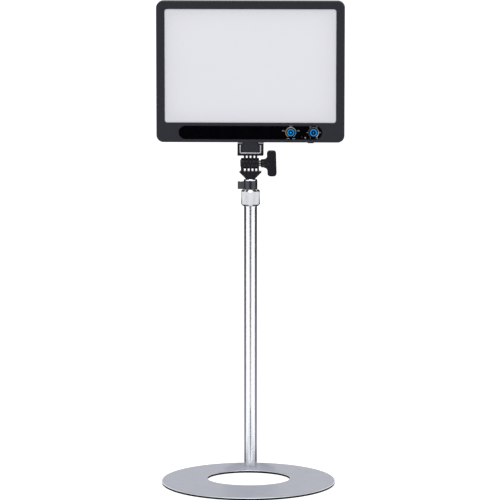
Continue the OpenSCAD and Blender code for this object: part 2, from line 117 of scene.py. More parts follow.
def join_rings(bm, rings, closed=False, caps=True):
    """Quads between rings of equal length; closed joins the last ring to the first."""
    loops = [[bm.verts.new(p) for p in ring] for ring in rings]
    pairs = list(zip(loops, loops[1:]))
    if closed:
        pairs.append((loops[-1], loops[0]))
    for a, b in pairs:
        for i in range(len(a)):
            j = (i + 1) % len(a)
            bm.faces.new((a[i], a[j], b[j], b[i]))
    if caps and not closed:
        bm.faces.new(loops[0])
        bm.faces.new(loops[-1])


def lathe(bm, profile, centre, steps=96, closed=True):
    """Turns (radius, height) points about the vertical axis through centre. A closed profile makes a tube."""
    rings = []
    for r, z in profile:
        rings.append([centre + Vector((r * math.cos(a), r * math.sin(a), z)) for a in turn_angles(steps)])
    join_rings(bm, rings, closed=closed)


def prism(bm, outline, low, high, axis="Y"):
    """An outline swept straight along an axis, from low to high."""
    place = {"Y": lambda p, t: Vector((p[0], t, p[1])), "Z": lambda p, t: Vector((p[0], p[1], t)),
             "X": lambda p, t: Vector((t, p[0], p[1]))}[axis]
    join_rings(bm, [[place(p, t) for p in outline] for t in (low, high)])


def bevel_sharp(bm, width, segments=3, angle=30, where=None):
    """Rounds every edge whose faces meet at more than the given angle."""
    limit = math.radians(angle)
    edges = [e for e in bm.edges if len(e.link_faces) == 2 and e.calc_face_angle(0) > limit]
    if where:
        edges = [e for e in edges if where(e)]
    bmesh.ops.bevel(bm, geom=edges, offset=width, segments=segments, profile=0.5, affect="EDGES",
                    loop_slide=False, clamp_overlap=True)


def cad_mesh(node):
    """A copy of a CAD node's mesh with its seams welded and its flat faces made whole."""
    bm = bmesh.new()
    bm.from_mesh(frame["nodes"][node].data)
    bmesh.ops.remove_doubles(bm, verts=bm.verts, dist=2e-6)
    bmesh.ops.dissolve_limit(bm, angle_limit=math.radians(0.3), verts=bm.verts, edges=bm.edges)
    return bm


def to_object(name, bm, sharp=32):
    bmesh.ops.remove_doubles(bm, verts=bm.verts, dist=1e-7)
    bmesh.ops.recalc_face_normals(bm, faces=bm.faces)
    mesh = bpy.data.meshes.new(name)
    bm.to_mesh(mesh)
    bm.free()
    mesh.shade_smooth()
    mesh.set_sharp_from_angle(angle=math.radians(sharp))
    made = bpy.data.objects.new(name, mesh)
    bpy.context.scene.collection.objects.link(made)
    return made


def settle(piece, sharp=32):
    """Bakes a piece's modifiers into its mesh."""
    graph = bpy.context.evaluated_depsgraph_get()
    mesh = bpy.data.meshes.new_from_object(piece.evaluated_get(graph))
    piece.modifiers.clear()
    piece.data = mesh
    mesh.shade_smooth()
    mesh.set_sharp_from_angle(angle=math.radians(sharp))


def cut(piece, cutters, operation="DIFFERENCE", sharp=32):
    """Takes closed solids away from a piece, or adds them to it."""
    for bm in cutters:
        tool = to_object(piece.name + "_tool", bm)
        step = piece.modifiers.new("cut", "BOOLEAN")
        step.operation = operation
        step.solver = "EXACT"
        step.object = tool
        settle(piece, sharp)
        bpy.data.objects.remove(tool)


def drum(radius, low, high, centre, axis="Y", steps=48):
    """A round cutter or peg between two positions on its axis."""
    rings = []
    for t in (low, high):
        ring = []
        for a in turn_angles(steps):
            u, v = radius * math.cos(a), radius * math.sin(a)
            ring.append({"X": Vector((t, centre.y + u, centre.z + v)),
                         "Y": Vector((centre.x + u, t, centre.z + v)),
                         "Z": Vector((centre.x + u, centre.y + v, t))}[axis])
        rings.append(ring)
    bm = bmesh.new()
    join_rings(bm, rings)
    return bm


def panel_rings(steps_list, width, height, radius, centre, steps=10):
    """Rounded rectangles, each inset by its own amount: steps_list holds (depth y, inset)."""
    least_radius = 0.2 * MM
    rings = []
    for y, inset in steps_list:
        corner = max(radius - inset, least_radius)
        outline = rounded_outline(width - 2 * inset, height - 2 * inset, corner, steps)
        rings.append(upright(outline, y, centre))
    return rings


def block(steps_list, width, height, radius, centre, steps=10):
    """A closed solid through the rings that panel_rings makes."""
    bm = bmesh.new()
    join_rings(bm, panel_rings(steps_list, width, height, radius, centre, steps))
    return bm


def round_over(start_y, radius, toward, steps=6):
    """(y, inset) pairs that round an edge: the inset falls from radius to 0 as y leaves start_y."""
    pairs = [(start_y, radius + 0.2 * MM)]
    for i in range(steps + 1):
        a = math.pi / 2 * i / steps
        pairs.append((start_y + toward * radius * (1 - math.cos(a)), radius * (1 - math.sin(a))))
    return pairs


# ---------------------------------------------------------------- materials

def principled(name):
    made = bpy.data.materials.new(name)
    made.use_nodes = True
    tree = made.node_tree
    return made, tree.nodes, tree.links, tree.nodes["Principled BSDF"]


def noise_at(nodes, links, scale, detail=3.0, stretch=(1, 1, 1)):
    """A noise texture in object space; scale is in features per metre."""
    place = nodes.new("ShaderNodeTexCoord")
    mapping = nodes.new("ShaderNodeMapping")
    mapping.inputs["Scale"].default_value = stretch
    texture = nodes.new("ShaderNodeTexNoise")
    texture.inputs["Scale"].default_value = scale
    texture.inputs["Detail"].default_value = detail
    links.new(place.outputs["Object"], mapping.inputs["Vector"])
    links.new(mapping.outputs["Vector"], texture.inputs["Vector"])
    return texture.outputs["Fac"]


def spread(nodes, links, value, low, high):
    """Maps the busy middle of a noise to a range."""
    node = nodes.new("ShaderNodeMapRange")
    node.inputs["From Min"].default_value = 0.3
    node.inputs["From Max"].default_value = 0.7
    node.inputs["To Min"].default_value = low
    node.inputs["To Max"].default_value = high
    links.new(value, node.inputs["Value"])
    return node.outputs["Result"]


def two_tone(nodes, links, value, dark, light):
    ramp = nodes.new("ShaderNodeValToRGB")
    ramp.color_ramp.elements[0].position = 0.3
    ramp.color_ramp.elements[0].color = (*dark, 1)
    ramp.color_ramp.elements[1].position = 0.7
    ramp.color_ramp.elements[1].color = (*light, 1)
    links.new(value, ramp.inputs["Fac"])
    return ramp.outputs["Color"]


def finish(name, colour, roughness, metallic=0.0, tint=0.06, tint_scale=60, grain=1800, bump=0.1, depth=0.02,
           stretch=(1, 1, 1), sheen=0.04, specular=0.5):
    """A finish with colour drift, uneven gloss and a fine grain. depth is the grain's height in mm."""
    made, nodes, links, shader = principled(name)
    dark = tuple(c * (1 - tint) for c in colour)
    light = tuple(min(c * (1 + tint), 1) for c in colour)
    drift = noise_at(nodes, links, tint_scale, 4)
    links.new(two_tone(nodes, links, drift, dark, light), shader.inputs["Base Color"])
    gloss = noise_at(nodes, links, grain / 3, 3, stretch)
    uneven = spread(nodes, links, gloss, max(roughness - sheen, 0.01), roughness + sheen)
    links.new(uneven, shader.inputs["Roughness"])
    relief = nodes.new("ShaderNodeBump")
    relief.inputs["Strength"].default_value = bump
    relief.inputs["Distance"].default_value = depth * MM
    links.new(noise_at(nodes, links, grain, 2, stretch), relief.inputs["Height"])
    links.new(relief.outputs["Normal"], shader.inputs["Normal"])
    shader.inputs["Metallic"].default_value = metallic
    shader.inputs["Specular IOR Level"].default_value = specular
    return made


def satin_chrome(name):
    """Chrome over a finely ground tube: it mirrors sharply round the tube and smears along it."""
    made = finish(name, (0.85, 0.865, 0.91), 0.24, 1.0, tint=0.01, grain=1400, bump=0.02, depth=0.002,
                  stretch=(1, 1, 12), sheen=0.01)
    nodes, links = made.node_tree.nodes, made.node_tree.links
    around = nodes.new("ShaderNodeTangent")
    around.direction_type = "RADIAL"
    around.axis = "Z"
    shader = nodes["Principled BSDF"]
    links.new(around.outputs["Tangent"], shader.inputs["Tangent"])
    shader.inputs["Anisotropic"].default_value = 0.85
    shader.inputs["Anisotropic Rotation"].default_value = 0.25
    return made


def lit(name, centre_colour, colour, strength, scale):
    """A lit translucent plastic: an even glow with a faint speckle."""
    made, nodes, links, shader = principled(name)
    speckle = noise_at(nodes, links, scale, 2)
    glow = two_tone(nodes, links, speckle, colour, centre_colour)
    links.new(glow, shader.inputs["Emission Color"])
    shader.inputs["Base Color"].default_value = (0.002, 0.004, 0.01, 1)
    shader.inputs["Emission Strength"].default_value = strength
    shader.inputs["Roughness"].default_value = 0.3
    return made


def angle_ink(name, stops):
    """Printed ink whose colour follows the angle round a dial, from the start of its scale to the end."""
    made, nodes, links, shader = principled(name)
    place = nodes.new("ShaderNodeTexCoord")
    split = nodes.new("ShaderNodeSeparateXYZ")
    turn = nodes.new("ShaderNodeMath")
    turn.operation = "ARCTAN2"
    share = nodes.new("ShaderNodeMapRange")
    share.inputs["From Min"].default_value = -math.radians(SCALE_HALF)
    share.inputs["From Max"].default_value = math.radians(SCALE_HALF)
    ramp = nodes.new("ShaderNodeValToRGB")
    ramp.color_ramp.elements.remove(ramp.color_ramp.elements[1])
    for index, (position, colour) in enumerate(stops):
        stop = ramp.color_ramp.elements[0] if index == 0 else ramp.color_ramp.elements.new(position)
        stop.position = position
        stop.color = (*colour, 1)
    links.new(place.outputs["Object"], split.inputs["Vector"])
    links.new(split.outputs["X"], turn.inputs[0])
    links.new(split.outputs["Z"], turn.inputs[1])
    links.new(turn.outputs["Value"], share.inputs["Value"])
    links.new(share.outputs["Result"], ramp.inputs["Fac"])
    links.new(ramp.outputs["Color"], shader.inputs["Base Color"])
    links.new(spread(nodes, links, noise_at(nodes, links, 4000), 0.35, 0.5), shader.inputs["Roughness"])
    return made


def opal_sheet(name, centre_colour, rim_shade_colour):
    """Milky diffuser plastic, with painted shade darkening it towards the rim of the window."""
    made, nodes, links, shader = principled(name)
    place = nodes.new("ShaderNodeTexCoord")
    shift = nodes.new("ShaderNodeMapping")
    shift.vector_type = "TEXTURE"
    shift.inputs["Location"].default_value = WINDOW_MID
    shift.inputs["Scale"].default_value = (WINDOW_W / 2, 1, WINDOW_H / 2)
    split = nodes.new("ShaderNodeSeparateXYZ")
    links.new(place.outputs["Object"], shift.inputs["Vector"])
    links.new(shift.outputs["Vector"], split.inputs["Vector"])
    # High powers leave the middle even and lay the painted shade only along the rim
    powers = []
    for axis, power in (("X", 9), ("Z", 7)):
        size = nodes.new("ShaderNodeMath")
        size.operation = "ABSOLUTE"
        raised = nodes.new("ShaderNodeMath")
        raised.operation = "POWER"
        raised.inputs[1].default_value = power
        links.new(split.outputs[axis], size.inputs[0])
        links.new(size.outputs["Value"], raised.inputs[0])
        powers.append(raised)
    total = nodes.new("ShaderNodeMath")
    total.operation = "ADD"
    links.new(powers[0].outputs["Value"], total.inputs[0])
    links.new(powers[1].outputs["Value"], total.inputs[1])
    haze = nodes.new("ShaderNodeMath")
    haze.operation = "MULTIPLY_ADD"
    haze.inputs[1].default_value = 0.08
    links.new(noise_at(nodes, links, 14, 4), haze.inputs[0])
    links.new(total.outputs["Value"], haze.inputs[2])
    ramp = nodes.new("ShaderNodeValToRGB")
    ramp.color_ramp.elements[0].color = (*centre_colour, 1)
    ramp.color_ramp.elements[1].color = (*rim_shade_colour, 1)
    links.new(haze.outputs["Value"], ramp.inputs["Fac"])
    links.new(ramp.outputs["Color"], shader.inputs["Base Color"])
    links.new(spread(nodes, links, noise_at(nodes, links, 500), 0.44, 0.56), shader.inputs["Roughness"])
    relief = nodes.new("ShaderNodeBump")
    relief.inputs["Strength"].default_value = 0.2
    relief.inputs["Distance"].default_value = 0.02 * MM
    links.new(noise_at(nodes, links, 1500), relief.inputs["Height"])
    links.new(relief.outputs["Normal"], shader.inputs["Normal"])
    shader.inputs["Specular IOR Level"].default_value = 0.3
    return made


def circuit(name):
    """Green solder mask with rows of fine tracks."""
    made, nodes, links, shader = principled(name)
    place = nodes.new("ShaderNodeTexCoord")
    turn = nodes.new("ShaderNodeMapping")
    turn.inputs["Rotation"].default_value = (math.pi / 2, 0, 0)
    tracks = nodes.new("ShaderNodeTexBrick")
    tracks.inputs["Scale"].default_value = 160
    tracks.inputs["Mortar Size"].default_value = 0.03
    tracks.inputs["Color1"].default_value = (0.015, 0.13, 0.06, 1)
    tracks.inputs["Color2"].default_value = (0.02, 0.16, 0.07, 1)
    tracks.inputs["Mortar"].default_value = (0.05, 0.3, 0.13, 1)
    links.new(place.outputs["Object"], turn.inputs["Vector"])
    links.new(turn.outputs["Vector"], tracks.inputs["Vector"])
    links.new(tracks.outputs["Color"], shader.inputs["Base Color"])
    links.new(spread(nodes, links, noise_at(nodes, links, 900), 0.25, 0.4), shader.inputs["Roughness"])
    return made


FINISH = {
    "base_coat": finish("base_coat", (0.35, 0.363, 0.415), 0.42, tint=0.03, grain=2600, bump=0.2, depth=0.02,
                        specular=0.15),
    "pad_rubber": finish("pad_rubber", (0.004, 0.004, 0.005), 0.9, grain=1500, bump=0.4, depth=0.05,
                         specular=0.1),
    "chrome": satin_chrome("chrome"),
    "screw_steel": finish("screw_steel", (0.6, 0.61, 0.63), 0.28, 1.0, grain=1600, bump=0.12, depth=0.01),
    "plug_steel": finish("plug_steel", (0.45, 0.45, 0.46), 0.4, 1.0, grain=1200, stretch=(1, 1, 8)),
    "knurled_alloy": finish("knurled_alloy", (0.72, 0.73, 0.76), 0.3, 1.0, tint=0.02, grain=2500, bump=0.15,
                            depth=0.01),
    "black_nylon": finish("black_nylon", (0.0045, 0.0045, 0.0085), 0.38, grain=2400, bump=0.3, depth=0.02,
                          specular=0.36),
    "clip_plastic": finish("clip_plastic", (0.012, 0.0145, 0.022), 0.22, grain=2200, bump=0.12, depth=0.01,
                           specular=0.7),
    "brass": finish("brass", (0.75, 0.53, 0.25), 0.28, 1.0, grain=1500, stretch=(1, 1, 6)),
    "liner_steel": finish("liner_steel", (0.7, 0.69, 0.71), 0.52, 1.0, grain=900, bump=0.2, depth=0.01,
                          stretch=(8, 0.3, 8)),
    "housing": finish("housing", (0.0095, 0.0105, 0.018), 0.48, tint=0.05, grain=2600, bump=0.45, depth=0.03,
                      specular=0.4),
    "gloss_black": finish("gloss_black", (0.0012, 0.0012, 0.002), 0.06, tint=0.2, grain=700, bump=0.02,
                          depth=0.005, sheen=0.02),
    # The opal's second colour is the painted shade along the window's rim
    "opal": opal_sheet("opal", (0.622, 0.627, 0.66), (0.555, 0.555, 0.6)),
    "clear_acrylic": finish("clear_acrylic", (0.85, 0.9, 0.92), 0.1, grain=500, bump=0.03),
    "white_film": finish("white_film", (0.9, 0.9, 0.9), 0.6),
    "led_board": finish("led_board", (0.83, 0.83, 0.8), 0.4),
    "led_phosphor": finish("led_phosphor", (0.85, 0.68, 0.2), 0.45),
    "tray_alloy": finish("tray_alloy", (0.75, 0.76, 0.78), 0.38, 1.0, grain=900, stretch=(0.2, 1, 6)),
    "circuit_board": circuit("circuit_board"),
    "component_black": finish("component_black", (0.02, 0.02, 0.02), 0.5),
    "encoder_case": finish("encoder_case", (0.1, 0.11, 0.13), 0.45),
    "port_metal": finish("port_metal", (0.68, 0.68, 0.7), 0.22, 1.0),
    "lamp_lens": finish("lamp_lens", (0.22, 0.22, 0.24), 0.3),
    "blue_light": lit("blue_light", (0.0, 0.3, 0.82), (0.0, 0.25, 0.7), 0.8, 900),
}
BRIGHT_PIP = lit("bright_pip", (0.02, 0.42, 1.0), (0.01, 0.36, 0.95), 1.0, 900)
SOFT_PIP = lit("soft_pip", (0.01, 0.16, 0.42), (0.01, 0.13, 0.36), 0.9, 900)
WHITE_INK = finish("white_ink", (0.32, 0.33, 0.345), 0.5, grain=3000)
CLIP_TEXTURE = finish("clip_texture", (0.038, 0.041, 0.05), 0.55, grain=2600, bump=0.5, depth=0.03)
GREY_INK = finish("grey_ink", (0.05, 0.05, 0.055), 0.5, grain=3000)
WARM_TO_COOL = angle_ink("warm_to_cool", [(0.0, (0.36, 0.15, 0.05)), (0.25, (0.27, 0.18, 0.11)),
                                          (0.5, (0.36, 0.37, 0.35)), (0.75, (0.04, 0.22, 0.24)),
                                          (1.0, (0.01, 0.14, 0.33))])
DIM_TO_BRIGHT = angle_ink("dim_to_bright", [(0.0, (0.012, 0.012, 0.013)), (0.35, (0.06, 0.05, 0.045)),
                                            (0.7, (0.15, 0.14, 0.135)), (1.0, (0.5, 0.5, 0.5))])
# Bright metal for the base plate's rounded rims: a painted highlight along them
RIM_HIGHLIGHT_METAL = finish("rim_highlight_metal", (0.78, 0.8, 0.85), 0.3, 1.0, tint=0.03, grain=1800, bump=0.1, depth=0.01)
TURNED_RIM = finish("turned_rim", (0.84, 0.85, 0.88), 0.1, 1.0, grain=1500, bump=0.05, depth=0.005,
                    stretch=(1, 1, 10))

# ---------------------------------------------------------------- pieces

SLOT_OF = {part["node"]: part["material_slot"] for part in frame["record"]["subparts"]}
BODY_OF = {node: body for body, nodes in frame["record"]["behaviour"]["bodies"].items() for node in nodes}


def dress(piece, node, material=None, body=None, stands_for=True):
    """Gives a piece its finish and lets it ride on the body of the CAD node it stands for."""
    piece.data.materials.clear()
    piece.data.materials.append(material or FINISH[SLOT_OF[node]])
    even = piece.modifiers.new("even_normals", "WEIGHTED_NORMAL")
    even.keep_sharp = True
    even.weight = 50
    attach(piece, body or BODY_OF[node])
    if stands_for:
        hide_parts(node)
    return piece


def softened(node, width, segments=3, angle=30):
    """The CAD node's own shape with its edges rounded."""
    bm = cad_mesh(node)
    bevel_sharp(bm, width * MM, segments, angle)
    return dress(to_object(node + "_piece", bm), node)


def inner_points(node, radius):
    """Vertices of a node within a radius of the frame's vertical axis."""
    return [v.co for v in frame["nodes"][node].data.vertices if Vector((v.co.x, v.co.y)).length < radius]


def from_mast(spot):
    """Distance of a point from the mast's axis."""
    return Vector((spot.x, spot.y - MAST.y)).length


def base_plate():
    """The ring: its top coated, its rounded rims a bright metal that stands in for their highlight (painted
    highlight), its wall and underside painted black as shade (painted shade).
    """
    low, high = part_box("base_plate")
    outer = (high.x - low.x) / 2
    hole = inner_points("base_plate", MAST.y - 10 * MM)
    hole_w = max(p.x for p in hole)
    front, rear = min(p.y for p in hole), max(p.y for p in hole)
    hole_d, hole_y = (rear - front) / 2, (rear + front) / 2
    angles = turn_angles(192)
    edge, foot = 1.2 * MM, 0.3 * MM
    rings = []
    outer_run = arc((outer - foot, low.z + foot), foot, -90, 0, 3)
    outer_run += arc((outer - edge, high.z - edge), edge, 0, 90, 8)
    for r, z in outer_run:
        rings.append([Vector((r * math.cos(a), r * math.sin(a), z)) for a in angles])
    inner_run = [(edge - edge * math.sin(t), high.z - edge + edge * math.cos(t))
                 for t in [math.pi / 2 * i / 6 for i in range(7)]]
    inner_run.append((0, low.z))
    for grow, z in inner_run:
        rings.append([Vector(((hole_w + grow) * math.cos(a), hole_y + (hole_d + grow) * math.sin(a), z))
                      for a in angles])
    bm = bmesh.new()
    join_rings(bm, rings, closed=True)
    plate = to_object("base_plate_piece", bm)
    head_low, head_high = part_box("mast_screw")
    head_r = (head_high.x - head_low.x) / 2
    head_h = 1.6 * MM
    cutter = bmesh.new()
    lathe(cutter, [(head_r, low.z - OVER), (head_r, low.z), (head_r / 2, low.z + head_h),
                   (head_r / 2, high.z + OVER)], Vector((MAST.x, MAST.y, 0)), closed=False)
    cut(plate, [cutter])
    dress(plate, "base_plate")
    # Painted highlight: the bright rim metal on the rounded edges
    plate.data.materials.append(RIM_HIGHLIGHT_METAL)
    # Black rubber finish for the plate's wall and underside: painted shade
    plate.data.materials.append(FINISH["pad_rubber"])
    rim_highlight, shade_black = 1, 2
    wall_slope, top_slope = 0.25, 0.97
    for face in plate.data.polygons:
        if from_mast(face.center) < head_r + 1 * MM:
            continue
        if wall_slope < face.normal.z < top_slope:
            face.material_index = rim_highlight
        elif face.normal.z <= wall_slope:
            face.material_index = shade_black


def tube(node, edge=0.4):
    """A polished tube with its wall and rounded lips."""
    low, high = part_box(node)
    centre = Vector(((low.x + high.x) / 2, (low.y + high.y) / 2, 0))
    radius = (high.x - low.x) / 2
    points = [v.co for v in frame["nodes"][node].data.vertices]
    walls = [Vector((p.x - centre.x, p.y - centre.y)).length for p in points]
    inner, lip = min(walls), edge * MM
    profile = [(inner, low.z)] + arc((radius - lip, low.z + lip), lip, -90, 0, 4)
    profile += arc((radius - lip, high.z - lip), lip, 0, 90, 4) + [(inner, high.z)]
    bm = bmesh.new()
    lathe(bm, profile, centre, steps=160)
    dress(to_object(node + "_piece", bm), node)


def lock_collar(teeth=78, relief=0.28):
    """The clamp ring: plain chamfered ends and a diamond knurl of real pyramids between them."""
    low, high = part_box("lock_collar")
    centre = Vector((MAST.x, MAST.y, 0))
    radius = (high.x - low.x) / 2
    bore_low = 12.05 * MM
    bore_high = 7.05 * MM
    band_low, band_high = low.z + 2.9 * MM, high.z - 3.1 * MM
    columns = 2 * teeth
    half_pitch = math.pi * radius / teeth
    rows = 2 * round((band_high - band_low) / (2 * half_pitch))
    bm = bmesh.new()
    grid = []
    for row in range(rows + 1):
        z = band_low + (band_high - band_low) * row / rows
        ring = []
        for column, a in enumerate(turn_angles(columns)):
            peak = (row + column) % 2 == 1
            r = radius if peak else radius - relief * MM
            ring.append(bm.verts.new(centre + Vector((r * math.cos(a), r * math.sin(a), z))))
        grid.append(ring)
    for row in range(rows):
        for column in range(columns):
            nxt = (column + 1) % columns
            a, b, c, d = grid[row][column], grid[row][nxt], grid[row + 1][nxt], grid[row + 1][column]
            if (row + column) % 2 == 1:
                bm.faces.new((a, b, d))
                bm.faces.new((b, c, d))
            else:
                bm.faces.new((a, b, c))
                bm.faces.new((a, c, d))
    chamfer = 2.7 * MM
    land = radius - relief * MM
    turned = radius - 0.05 * MM
    # From the knurl's top edge, over the upper end, down the bore and round the lower end
    profile = [(land, band_high + 0.05 * MM), (turned, band_high + 0.3 * MM), (turned, high.z - chamfer),
               (radius - chamfer, high.z - 0.2 * MM), (radius - chamfer - 0.3 * MM, high.z),
               (bore_high + 0.4 * MM, high.z), (bore_high, high.z - 0.4 * MM), (bore_high, high.z - 4 * MM),
               (bore_low, high.z - 4.2 * MM), (bore_low, low.z + 0.3 * MM), (bore_low + 0.3 * MM, low.z),
               (radius - chamfer - 0.2 * MM, low.z), (radius - chamfer + 0.1 * MM, low.z + 0.2 * MM),
               (turned, low.z + chamfer - 0.1 * MM)]
    rings = [grid[-1]]
    for r, z in profile:
        rings.append([bm.verts.new(centre + Vector((r * math.cos(t), r * math.sin(t), z)))
                      for t in turn_angles(columns)])
    rings.append(grid[0])
    for a, b in zip(rings, rings[1:]):
        for i in range(columns):
            j = (i + 1) % columns
            bm.faces.new((a[i], a[j], b[j], b[i]))
    collar = dress(to_object("lock_collar_piece", bm, sharp=14), "lock_collar")
    collar.data.materials.append(TURNED_RIM)
    for face in collar.data.polygons:
        in_bore = from_mast(face.center) < land / 1.05
        if in_bore or not band_low < face.center.z < band_high:
            face.material_index = 1


def eye(radius, leg, steps=24):
    """A prong's outline in (Y, Z) about the pivot: a round eye on a straight leg of that signed length."""
    side = 1 if leg < 0 else -1
    points = arc((0, 0), radius, 0, 180 * side, steps)
    return points + [(points[-1][0], leg), (points[0][0], leg)]


def prong(x_low, x_high, radius, leg, edge=0.35):
    """One rounded prong between two places on the pivot's axis."""
    bm = bmesh.new()
    outline = [(PIVOT.y + y, PIVOT.z + z) for y, z in eye(radius, leg)]
    prism(bm, outline, x_low, x_high, "X")
    bevel_sharp(bm, edge * MM, 3)
    return bm


def cable_clip():
    """The snap-on ring, glossy, with a finely textured face on its tab."""
    clip = softened("cable_clip", 0.5, 3)
    clip.data.materials.append(CLIP_TEXTURE)
    tab_start = -10 * MM
    for face in clip.data.polygons:
        if face.normal.y < -0.98 and face.center.x < tab_start:
            face.material_index = 1


def tilt_base():
    """The wedge with its five prongs, the bolt's hole, the nut's pocket and the insert's seat."""
    low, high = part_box("tilt_base")
    radius = (high.y - low.y) / 2
    foot_r = 7.2 * MM
    wedge_low, wedge_high = low.z + 1.2 * MM, low.z + 11.8 * MM
    half = 17 * MM
    rim = 0.8 * MM
    outline = [(-foot_r, wedge_low), (foot_r, wedge_low), (half, wedge_high - rim), (half, wedge_high),
               (-half, wedge_high), (-half, wedge_high - rim)]
    bm = bmesh.new()
    prism(bm, outline, MAST.y - radius, MAST.y + radius)
    below_rim = wedge_high - 0.1 * MM

    def sloped(edge):
        a, b = (v.co for v in edge.verts)
        return abs(a.y - b.y) < 1e-6 and max(a.z, b.z) < below_rim

    bevel_sharp(bm, 1.5 * MM, 2, where=sloped)
    bevel_sharp(bm, 0.25 * MM, 2, angle=40)
    head = to_object("tilt_base_piece", bm)
    pitch, gap, slot = 5.9 * MM, 0.1 * MM, 2.9 * MM
    nut_end, knob_end = -14.8 * MM, 13 * MM
    leg = wedge_high - PIVOT.z - 0.5 * MM
    spans = [(i * pitch - slot / 2 + gap, i * pitch + slot / 2 - gap) for i in (-1, 0, 1)]
    end_in = 1.5 * pitch + 1.5 * MM + gap
    spans += [(nut_end, -end_in), (end_in, knob_end)]
    mast_axis = Vector((0, MAST.y, 0))
    solids = [prong(a, b, radius, leg) for a, b in spans]
    solids.append(drum(foot_r, low.z, wedge_low + 0.6 * MM, mast_axis, "Z", 64))
    cut(head, solids, "UNION")
    nut_low, nut_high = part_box("tilt_nut")
    pocket_r, bolt_r, insert_r = 5.85 * MM, 3.05 * MM, 4.5 * MM
    corners = [math.radians(60 * i + 30) for i in range(6)]
    hexagon = [(PIVOT.y + pocket_r * math.cos(a), PIVOT.z + pocket_r * math.sin(a)) for a in corners]
    pocket = bmesh.new()
    prism(pocket, hexagon, nut_low.x - OVER, nut_high.x, "X")
    cut(head, [drum(bolt_r, -30 * MM, 30 * MM, PIVOT, "X"), pocket,
               drum(insert_r, low.z - OVER, low.z + 10 * MM, mast_axis, "Z")])
    dress(head, "tilt_base")


def tilt_knob():
    """The T handle, its neck, web and grip blended like a moulding, and the grip leaning slightly."""
    knob = to_object("tilt_knob_piece", cad_mesh("tilt_knob"))
    melt = knob.modifiers.new("melt", "REMESH")
    melt.mode = "VOXEL"
    melt.voxel_size = 0.28 * MM
    ease = knob.modifiers.new("ease", "SMOOTH")
    ease.factor = 0.5
    ease.iterations = 7
    settle(knob, sharp=70)
    lean, reach = 0.6 * MM, 20 * MM
    lean_start, lean_run = 18 * MM, 8 * MM
    for vertex in knob.data.vertices:
        share = min(max((vertex.co.x - lean_start) / lean_run, 0), 1)
        vertex.co.x -= share * lean * (vertex.co.z - PIVOT.z) / reach
    dress(knob, "tilt_knob")


def shoe_liner():
    """The bent steel lining of the channel, and a short fold of it on each of the channel's lips."""
    low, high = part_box("shoe_liner")
    thick, bend = 1.6 * MM, 2.6 * MM
    mid = (low.x + high.x) / 2
    half = (high.x - low.x) / 2
    top = high.z
    outer = [(-half, top)] + arc((-half + bend, low.z + bend), bend, 180, 270, 6)
    outer += arc((half - bend, low.z + bend), bend, 270, 360, 6) + [(half, top)]
    inner_r = bend - thick
    inner = [(half - thick, top)] + arc((half - bend, low.z + bend), inner_r, 0, -90, 6)
    inner += arc((-half + bend, low.z + bend), inner_r, -90, -180, 6) + [(-half + thick, top)]
    bm = bmesh.new()
    prism(bm, [(mid + x, z) for x, z in outer + inner], low.y, high.y)
    bevel_sharp(bm, 0.18 * MM, 2, angle=50)
    dress(to_object("shoe_liner_piece", bm), "shoe_liner")
    channel_low, channel_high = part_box("shoe_channel")
    fold_in, fold_out, fold_t = 13.8 * MM, 19.6 * MM, 0.9 * MM
    bottom, top = channel_high.z, channel_high.z + fold_t
    for side, name in ((-1, "left"), (1, "right")):
        fold = bmesh.new()
        start, end = sorted((mid + side * fold_in, mid + side * fold_out))
        prism(fold, [(start, bottom), (end, bottom), (end, top), (start, top)],
              channel_low.y + 0.05 * MM, high.y)
        bevel_sharp(fold, 0.15 * MM, 2, angle=50)
        dress(to_object("liner_fold_" + name, fold), "shoe_liner", stands_for=False)


def slant_cornered(half, low, high, bottom, top):
    """A softened box from low.y to high.y whose two front corners are cut back at a slant."""
    corner = 2.4 * MM
    outline = [(-half, low.y + corner), (-half + corner, low.y), (half - corner, low.y),
               (half, low.y + corner), (half, high.y), (-half, high.y)]
    bm = bmesh.new()
    prism(bm, outline, bottom, top, "Z")
    bevel_sharp(bm, 0.35 * MM, 3)
    return bm


def shoe_foot():
    """The T-shaped foot: a flange that slides in the channel and a neck that carries the panel."""
    low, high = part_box("shoe_foot")
    half, neck = (high.x - low.x) / 2, 12.7 * MM
    flange_top = low.z + 10.6 * MM
    neck_bottom = low.z + 4 * MM
    foot = to_object("shoe_foot_piece", slant_cornered(half, low, high, low.z, flange_top))
    cut(foot, [slant_cornered(neck, low, high, neck_bottom, high.z)], "UNION")
    dress(foot, "shoe_foot", FINISH["housing"])


